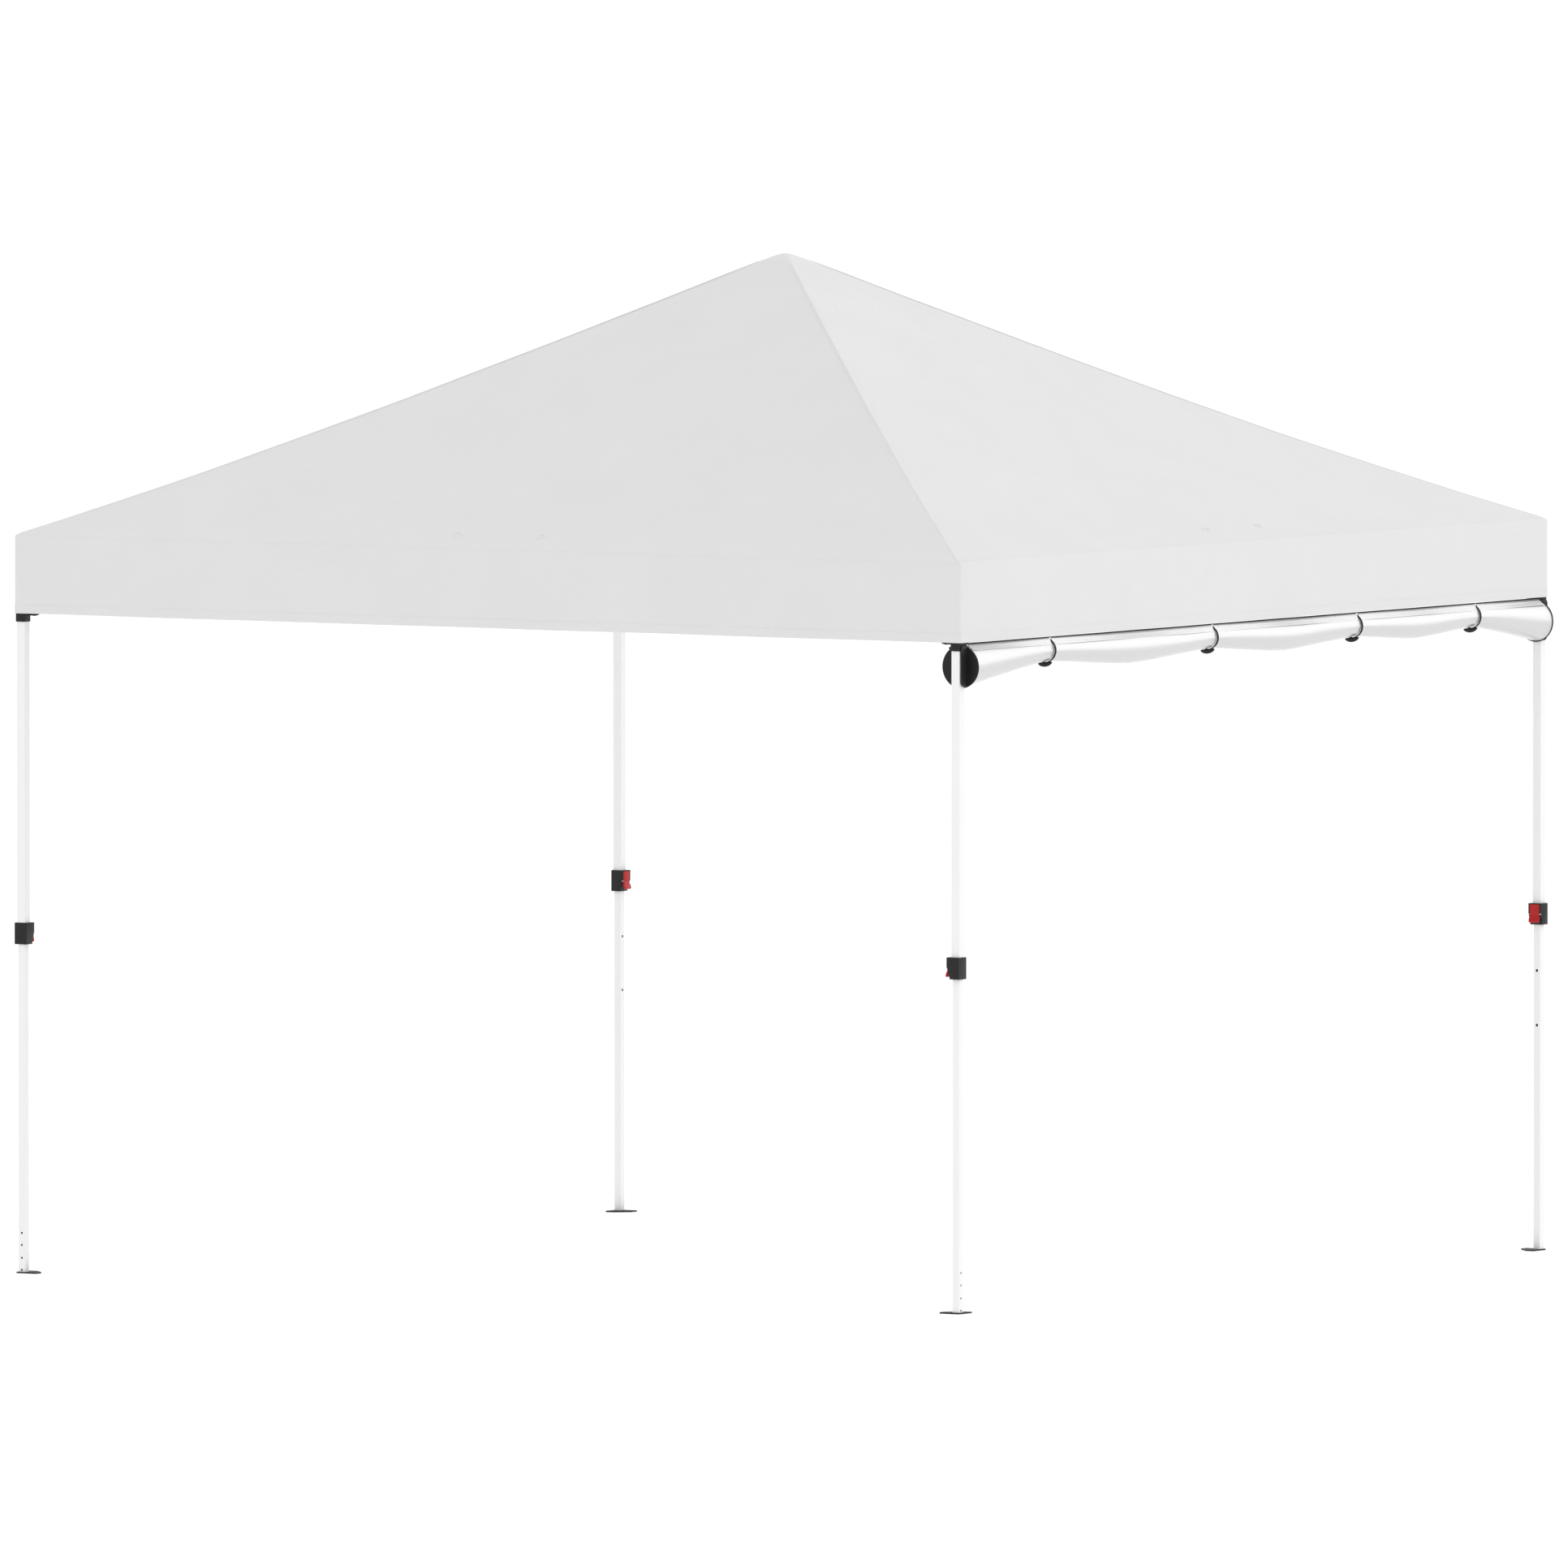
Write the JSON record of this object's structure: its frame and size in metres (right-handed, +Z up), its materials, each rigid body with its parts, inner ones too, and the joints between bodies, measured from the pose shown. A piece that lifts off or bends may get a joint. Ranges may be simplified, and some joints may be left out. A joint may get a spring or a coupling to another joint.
{
  "type": "pop up canopy",
  "caption": "White pop up canopy on a folding scissor frame, with straight telescoping legs, a pyramid roof and a sidewall rolled up along one side.",
  "frame": {"origin": "on the floor, in the middle between the four feet, under the mast", "axes": "+X to the right, towards the side that carries the rolled sidewall; -Y to the front; +Z up"},
  "size_m": [2.987, 2.952, 2.679],
  "materials": {
    "white_paint": "satin",
    "cover_fabric": "matte",
    "sidewall_fabric": "satin",
    "black_plastic": "satin",
    "red_plastic": "satin",
    "black_webbing": "matte"
  },
  "bodies": {
    "frame_top": {"peak_mast": "black_plastic", "canopy_cover": "cover_fabric"},
    "arm_inner_front_left": {"roof_arm_inner_front_left": "white_paint"},
    "arm_outer_front_left": {"roof_arm_outer_front_left": "white_paint"},
    "leg_front_left": {"upper_leg_front_left": "white_paint", "lock_housing_front_left": "black_plastic"},
    "arm_inner_back_left": {"roof_arm_inner_back_left": "white_paint"},
    "arm_outer_back_left": {"roof_arm_outer_back_left": "white_paint"},
    "leg_back_left": {"upper_leg_back_left": "white_paint", "lock_housing_back_left": "black_plastic"},
    "arm_inner_back_right": {"roof_arm_inner_back_right": "white_paint"},
    "arm_outer_back_right": {"roof_arm_outer_back_right": "white_paint"},
    "leg_back_right": {"upper_leg_back_right": "white_paint", "lock_housing_back_right": "black_plastic"},
    "arm_inner_front_right": {"roof_arm_inner_front_right": "white_paint"},
    "arm_outer_front_right": {"roof_arm_outer_front_right": "white_paint"},
    "leg_front_right": {"upper_leg_front_right": "white_paint", "lock_housing_front_right": "black_plastic", "sidewall_roll": "sidewall_fabric", "sidewall_harness": "black_webbing"},
    "front_falling_1": {"front_bar_falling_1": "white_paint"},
    "front_rising_1": {"front_bar_rising_1": "white_paint"},
    "front_falling_2": {"front_bar_falling_2": "white_paint"},
    "front_rising_2": {"front_bar_rising_2": "white_paint"},
    "front_falling_3": {"front_bar_falling_3": "white_paint"},
    "front_rising_3": {"front_bar_rising_3": "white_paint"},
    "slider_front_left": {"slider_front_left": "black_plastic"},
    "left_falling_1": {"left_bar_falling_1": "white_paint"},
    "left_rising_1": {"left_bar_rising_1": "white_paint"},
    "left_falling_2": {"left_bar_falling_2": "white_paint"},
    "left_rising_2": {"left_bar_rising_2": "white_paint"},
    "left_falling_3": {"left_bar_falling_3": "white_paint"},
    "left_rising_3": {"left_bar_rising_3": "white_paint"},
    "slider_back_left": {"slider_back_left": "black_plastic"},
    "back_falling_1": {"back_bar_falling_1": "white_paint"},
    "back_rising_1": {"back_bar_rising_1": "white_paint"},
    "back_falling_2": {"back_bar_falling_2": "white_paint"},
    "back_rising_2": {"back_bar_rising_2": "white_paint"},
    "back_falling_3": {"back_bar_falling_3": "white_paint"},
    "back_rising_3": {"back_bar_rising_3": "white_paint"},
    "slider_back_right": {"slider_back_right": "black_plastic"},
    "right_falling_1": {"right_bar_falling_1": "white_paint"},
    "right_rising_1": {"right_bar_rising_1": "white_paint"},
    "right_falling_2": {"right_bar_falling_2": "white_paint"},
    "right_rising_2": {"right_bar_rising_2": "white_paint"},
    "right_falling_3": {"right_bar_falling_3": "white_paint"},
    "right_rising_3": {"right_bar_rising_3": "white_paint"},
    "slider_front_right": {"slider_front_right": "black_plastic"},
    "lower_leg_front_left": {"lower_leg_front_left": "white_paint"},
    "lever_front_left": {"lock_lever_front_left": "red_plastic"},
    "button_front_left": {"slider_button_front_left": "black_plastic"},
    "lower_leg_back_left": {"lower_leg_back_left": "white_paint"},
    "lever_back_left": {"lock_lever_back_left": "red_plastic"},
    "button_back_left": {"slider_button_back_left": "black_plastic"},
    "lower_leg_back_right": {"lower_leg_back_right": "white_paint"},
    "lever_back_right": {"lock_lever_back_right": "red_plastic"},
    "button_back_right": {"slider_button_back_right": "black_plastic"},
    "lower_leg_front_right": {"lower_leg_front_right": "white_paint"},
    "lever_front_right": {"lock_lever_front_right": "red_plastic"},
    "button_front_right": {"slider_button_front_right": "black_plastic"}
  },
  "joints": [
    {"name": "fold", "type": "hinge", "parent": "frame_top", "child": "arm_inner_front_left", "pos_m": [-0.02313, -0.02313, 1.925], "axis": [0.7071, -0.7071, 0], "range_deg": [0, 76], "deforming": ["canopy_cover", "sidewall_roll", "sidewall_harness"]},
    {"name": "knee_pivot_front_left", "type": "hinge", "parent": "arm_inner_front_left", "child": "arm_outer_front_left", "pos_m": [-0.72663, -0.72663, 1.74999], "axis": [-0.7071, 0.7071, 0], "range_deg": [0, 152]},
    {"name": "corner_pivot_front_left", "type": "hinge", "parent": "arm_outer_front_left", "child": "leg_front_left", "pos_m": [-1.43013, -1.43013, 1.925], "axis": [0.7071, -0.7071, 0], "range_deg": [0, 76]},
    {"name": "hub_pivot_back_left", "type": "hinge", "parent": "frame_top", "child": "arm_inner_back_left", "pos_m": [-0.02313, 0.02313, 1.925], "axis": [-0.7071, -0.7071, 0], "range_deg": [0, 76]},
    {"name": "knee_pivot_back_left", "type": "hinge", "parent": "arm_inner_back_left", "child": "arm_outer_back_left", "pos_m": [-0.72663, 0.72663, 1.74999], "axis": [0.7071, 0.7071, 0], "range_deg": [0, 152]},
    {"name": "corner_pivot_back_left", "type": "hinge", "parent": "arm_outer_back_left", "child": "leg_back_left", "pos_m": [-1.43013, 1.43013, 1.925], "axis": [-0.7071, -0.7071, 0], "range_deg": [0, 76]},
    {"name": "hub_pivot_back_right", "type": "hinge", "parent": "frame_top", "child": "arm_inner_back_right", "pos_m": [0.02313, 0.02313, 1.925], "axis": [-0.7071, 0.7071, 0], "range_deg": [0, 76]},
    {"name": "knee_pivot_back_right", "type": "hinge", "parent": "arm_inner_back_right", "child": "arm_outer_back_right", "pos_m": [0.72663, 0.72663, 1.74999], "axis": [0.7071, -0.7071, 0], "range_deg": [0, 152]},
    {"name": "corner_pivot_back_right", "type": "hinge", "parent": "arm_outer_back_right", "child": "leg_back_right", "pos_m": [1.43013, 1.43013, 1.925], "axis": [-0.7071, 0.7071, 0], "range_deg": [0, 76]},
    {"name": "hub_pivot_front_right", "type": "hinge", "parent": "frame_top", "child": "arm_inner_front_right", "pos_m": [0.02313, -0.02313, 1.925], "axis": [0.7071, 0.7071, 0], "range_deg": [0, 76]},
    {"name": "knee_pivot_front_right", "type": "hinge", "parent": "arm_inner_front_right", "child": "arm_outer_front_right", "pos_m": [0.72663, -0.72663, 1.74999], "axis": [-0.7071, -0.7071, 0], "range_deg": [0, 152]},
    {"name": "corner_pivot_front_right", "type": "hinge", "parent": "arm_outer_front_right", "child": "leg_front_right", "pos_m": [1.43013, -1.43013, 1.925], "axis": [0.7071, 0.7071, 0], "range_deg": [0, 76]},
    {"name": "front_start_top_pivot", "type": "hinge", "parent": "leg_front_left", "child": "front_falling_1", "pos_m": [-1.407, -1.457, 1.925], "axis": [0, 1, 0], "range_deg": [0, 76]},
    {"name": "front_cross_pivot_1", "type": "hinge", "parent": "front_falling_1", "child": "front_rising_1", "pos_m": [-0.938, -1.457, 1.8425], "axis": [0, -1, 0], "range_deg": [0, 152]},
    {"name": "front_low_pivot_1", "type": "hinge", "parent": "front_falling_1", "child": "front_rising_2", "pos_m": [-0.469, -1.457, 1.76], "axis": [0, -1, 0], "range_deg": [0, 152]},
    {"name": "front_top_pivot_1", "type": "hinge", "parent": "front_rising_1", "child": "front_falling_2", "pos_m": [-0.469, -1.457, 1.925], "axis": [0, 1, 0], "range_deg": [0, 152]},
    {"name": "front_end_top_pivot", "type": "hinge", "parent": "leg_front_right", "child": "front_rising_3", "pos_m": [1.407, -1.457, 1.925], "axis": [0, -1, 0], "range_deg": [0, 76]},
    {"name": "front_cross_pivot_3", "type": "hinge", "parent": "front_rising_3", "child": "front_falling_3", "pos_m": [0.938, -1.457, 1.8425], "axis": [0, 1, 0], "range_deg": [0, 152]},
    {"name": "front_slider_pivot", "type": "hinge", "parent": "front_rising_1", "child": "slider_front_left", "pos_m": [-1.407, -1.457, 1.76], "axis": [0, 1, 0], "range_deg": [0, 76]},
    {"name": "left_start_top_pivot", "type": "hinge", "parent": "leg_back_left", "child": "left_falling_1", "pos_m": [-1.457, 1.407, 1.925], "axis": [1, 0, 0], "range_deg": [0, 76]},
    {"name": "left_cross_pivot_1", "type": "hinge", "parent": "left_falling_1", "child": "left_rising_1", "pos_m": [-1.457, 0.938, 1.8425], "axis": [-1, 0, 0], "range_deg": [0, 152]},
    {"name": "left_low_pivot_1", "type": "hinge", "parent": "left_falling_1", "child": "left_rising_2", "pos_m": [-1.457, 0.469, 1.76], "axis": [-1, 0, 0], "range_deg": [0, 152]},
    {"name": "left_top_pivot_1", "type": "hinge", "parent": "left_rising_1", "child": "left_falling_2", "pos_m": [-1.457, 0.469, 1.925], "axis": [1, 0, 0], "range_deg": [0, 152]},
    {"name": "left_end_top_pivot", "type": "hinge", "parent": "leg_front_left", "child": "left_rising_3", "pos_m": [-1.457, -1.407, 1.925], "axis": [-1, 0, 0], "range_deg": [0, 76]},
    {"name": "left_cross_pivot_3", "type": "hinge", "parent": "left_rising_3", "child": "left_falling_3", "pos_m": [-1.457, -0.938, 1.8425], "axis": [1, 0, 0], "range_deg": [0, 152]},
    {"name": "left_slider_pivot", "type": "hinge", "parent": "left_rising_1", "child": "slider_back_left", "pos_m": [-1.457, 1.407, 1.76], "axis": [1, 0, 0], "range_deg": [0, 76]},
    {"name": "back_start_top_pivot", "type": "hinge", "parent": "leg_back_right", "child": "back_falling_1", "pos_m": [1.407, 1.457, 1.925], "axis": [0, -1, 0], "range_deg": [0, 76]},
    {"name": "back_cross_pivot_1", "type": "hinge", "parent": "back_falling_1", "child": "back_rising_1", "pos_m": [0.938, 1.457, 1.8425], "axis": [0, 1, 0], "range_deg": [0, 152]},
    {"name": "back_low_pivot_1", "type": "hinge", "parent": "back_falling_1", "child": "back_rising_2", "pos_m": [0.469, 1.457, 1.76], "axis": [0, 1, 0], "range_deg": [0, 152]},
    {"name": "back_top_pivot_1", "type": "hinge", "parent": "back_rising_1", "child": "back_falling_2", "pos_m": [0.469, 1.457, 1.925], "axis": [0, -1, 0], "range_deg": [0, 152]},
    {"name": "back_end_top_pivot", "type": "hinge", "parent": "leg_back_left", "child": "back_rising_3", "pos_m": [-1.407, 1.457, 1.925], "axis": [0, 1, 0], "range_deg": [0, 76]},
    {"name": "back_cross_pivot_3", "type": "hinge", "parent": "back_rising_3", "child": "back_falling_3", "pos_m": [-0.938, 1.457, 1.8425], "axis": [0, -1, 0], "range_deg": [0, 152]},
    {"name": "back_slider_pivot", "type": "hinge", "parent": "back_rising_1", "child": "slider_back_right", "pos_m": [1.407, 1.457, 1.76], "axis": [0, -1, 0], "range_deg": [0, 76]},
    {"name": "right_start_top_pivot", "type": "hinge", "parent": "leg_front_right", "child": "right_falling_1", "pos_m": [1.457, -1.407, 1.925], "axis": [-1, 0, 0], "range_deg": [0, 76]},
    {"name": "right_cross_pivot_1", "type": "hinge", "parent": "right_falling_1", "child": "right_rising_1", "pos_m": [1.457, -0.938, 1.8425], "axis": [1, 0, 0], "range_deg": [0, 152]},
    {"name": "right_low_pivot_1", "type": "hinge", "parent": "right_falling_1", "child": "right_rising_2", "pos_m": [1.457, -0.469, 1.76], "axis": [1, 0, 0], "range_deg": [0, 152]},
    {"name": "right_top_pivot_1", "type": "hinge", "parent": "right_rising_1", "child": "right_falling_2", "pos_m": [1.457, -0.469, 1.925], "axis": [-1, 0, 0], "range_deg": [0, 152]},
    {"name": "right_end_top_pivot", "type": "hinge", "parent": "leg_back_right", "child": "right_rising_3", "pos_m": [1.457, 1.407, 1.925], "axis": [1, 0, 0], "range_deg": [0, 76]},
    {"name": "right_cross_pivot_3", "type": "hinge", "parent": "right_rising_3", "child": "right_falling_3", "pos_m": [1.457, 0.938, 1.8425], "axis": [-1, 0, 0], "range_deg": [0, 152]},
    {"name": "right_slider_pivot", "type": "hinge", "parent": "right_rising_1", "child": "slider_front_right", "pos_m": [1.457, -1.407, 1.76], "axis": [-1, 0, 0], "range_deg": [0, 76]},
    {"name": "leg_height_front_left", "type": "slide", "parent": "leg_front_left", "child": "lower_leg_front_left", "axis": [0, 0, 1], "range_m": [0, 0.86]},
    {"name": "lever_front_left", "type": "hinge", "parent": "leg_front_left", "child": "lever_front_left", "pos_m": [-1.457, -1.4355, 0.8995], "axis": [1, 0, 0], "range_deg": [0, 10], "stiffness_Nm_per_rad": 0.6, "springref_deg": -5.73},
    {"name": "button_front_left", "type": "slide", "parent": "slider_front_left", "child": "button_front_left", "axis": [0, 1, 0], "range_m": [0, 0.004], "stiffness_N_per_m": 400, "springref_m": -0.002},
    {"name": "leg_height_back_left", "type": "slide", "parent": "leg_back_left", "child": "lower_leg_back_left", "axis": [0, 0, 1], "range_m": [0, 0.86]},
    {"name": "lever_back_left", "type": "hinge", "parent": "leg_back_left", "child": "lever_back_left", "pos_m": [-1.4355, 1.457, 0.8995], "axis": [0, -1, 0], "range_deg": [0, 10], "stiffness_Nm_per_rad": 0.6, "springref_deg": -5.73},
    {"name": "button_back_left", "type": "slide", "parent": "slider_back_left", "child": "button_back_left", "axis": [1, 0, 0], "range_m": [0, 0.004], "stiffness_N_per_m": 400, "springref_m": -0.002},
    {"name": "leg_height_back_right", "type": "slide", "parent": "leg_back_right", "child": "lower_leg_back_right", "axis": [0, 0, 1], "range_m": [0, 0.86]},
    {"name": "lever_back_right", "type": "hinge", "parent": "leg_back_right", "child": "lever_back_right", "pos_m": [1.457, 1.4355, 0.8995], "axis": [-1, 0, 0], "range_deg": [0, 10], "stiffness_Nm_per_rad": 0.6, "springref_deg": -5.73},
    {"name": "button_back_right", "type": "slide", "parent": "slider_back_right", "child": "button_back_right", "axis": [0, -1, 0], "range_m": [0, 0.004], "stiffness_N_per_m": 400, "springref_m": -0.002},
    {"name": "leg_height_front_right", "type": "slide", "parent": "leg_front_right", "child": "lower_leg_front_right", "axis": [0, 0, 1], "range_m": [0, 0.86]},
    {"name": "lever_front_right", "type": "hinge", "parent": "leg_front_right", "child": "lever_front_right", "pos_m": [1.4355, -1.457, 0.8995], "axis": [0, 1, 0], "range_deg": [0, 10], "stiffness_Nm_per_rad": 0.6, "springref_deg": -5.73},
    {"name": "button_front_right", "type": "slide", "parent": "slider_front_right", "child": "button_front_right", "axis": [-1, 0, 0], "range_m": [0, 0.004], "stiffness_N_per_m": 400, "springref_m": -0.002}
  ],
  "couplings": [
    {"joint": "knee_pivot_front_left", "follows": "fold", "ratio": 2},
    {"joint": "corner_pivot_front_left", "follows": "fold", "ratio": 1},
    {"joint": "hub_pivot_back_left", "follows": "fold", "ratio": 1},
    {"joint": "knee_pivot_back_left", "follows": "fold", "ratio": 2},
    {"joint": "corner_pivot_back_left", "follows": "fold", "ratio": 1},
    {"joint": "hub_pivot_back_right", "follows": "fold", "ratio": 1},
    {"joint": "knee_pivot_back_right", "follows": "fold", "ratio": 2},
    {"joint": "corner_pivot_back_right", "follows": "fold", "ratio": 1},
    {"joint": "hub_pivot_front_right", "follows": "fold", "ratio": 1},
    {"joint": "knee_pivot_front_right", "follows": "fold", "ratio": 2},
    {"joint": "corner_pivot_front_right", "follows": "fold", "ratio": 1},
    {"joint": "front_start_top_pivot", "follows": "fold", "ratio": 1},
    {"joint": "front_cross_pivot_1", "follows": "fold", "ratio": 2},
    {"joint": "front_low_pivot_1", "follows": "fold", "ratio": 2},
    {"joint": "front_top_pivot_1", "follows": "fold", "ratio": 2},
    {"joint": "front_end_top_pivot", "follows": "fold", "ratio": 1},
    {"joint": "front_cross_pivot_3", "follows": "fold", "ratio": 2},
    {"joint": "front_slider_pivot", "follows": "fold", "ratio": 1},
    {"joint": "left_start_top_pivot", "follows": "fold", "ratio": 1},
    {"joint": "left_cross_pivot_1", "follows": "fold", "ratio": 2},
    {"joint": "left_low_pivot_1", "follows": "fold", "ratio": 2},
    {"joint": "left_top_pivot_1", "follows": "fold", "ratio": 2},
    {"joint": "left_end_top_pivot", "follows": "fold", "ratio": 1},
    {"joint": "left_cross_pivot_3", "follows": "fold", "ratio": 2},
    {"joint": "left_slider_pivot", "follows": "fold", "ratio": 1},
    {"joint": "back_start_top_pivot", "follows": "fold", "ratio": 1},
    {"joint": "back_cross_pivot_1", "follows": "fold", "ratio": 2},
    {"joint": "back_low_pivot_1", "follows": "fold", "ratio": 2},
    {"joint": "back_top_pivot_1", "follows": "fold", "ratio": 2},
    {"joint": "back_end_top_pivot", "follows": "fold", "ratio": 1},
    {"joint": "back_cross_pivot_3", "follows": "fold", "ratio": 2},
    {"joint": "back_slider_pivot", "follows": "fold", "ratio": 1},
    {"joint": "right_start_top_pivot", "follows": "fold", "ratio": 1},
    {"joint": "right_cross_pivot_1", "follows": "fold", "ratio": 2},
    {"joint": "right_low_pivot_1", "follows": "fold", "ratio": 2},
    {"joint": "right_top_pivot_1", "follows": "fold", "ratio": 2},
    {"joint": "right_end_top_pivot", "follows": "fold", "ratio": 1},
    {"joint": "right_cross_pivot_3", "follows": "fold", "ratio": 2},
    {"joint": "right_slider_pivot", "follows": "fold", "ratio": 1}
  ]
}
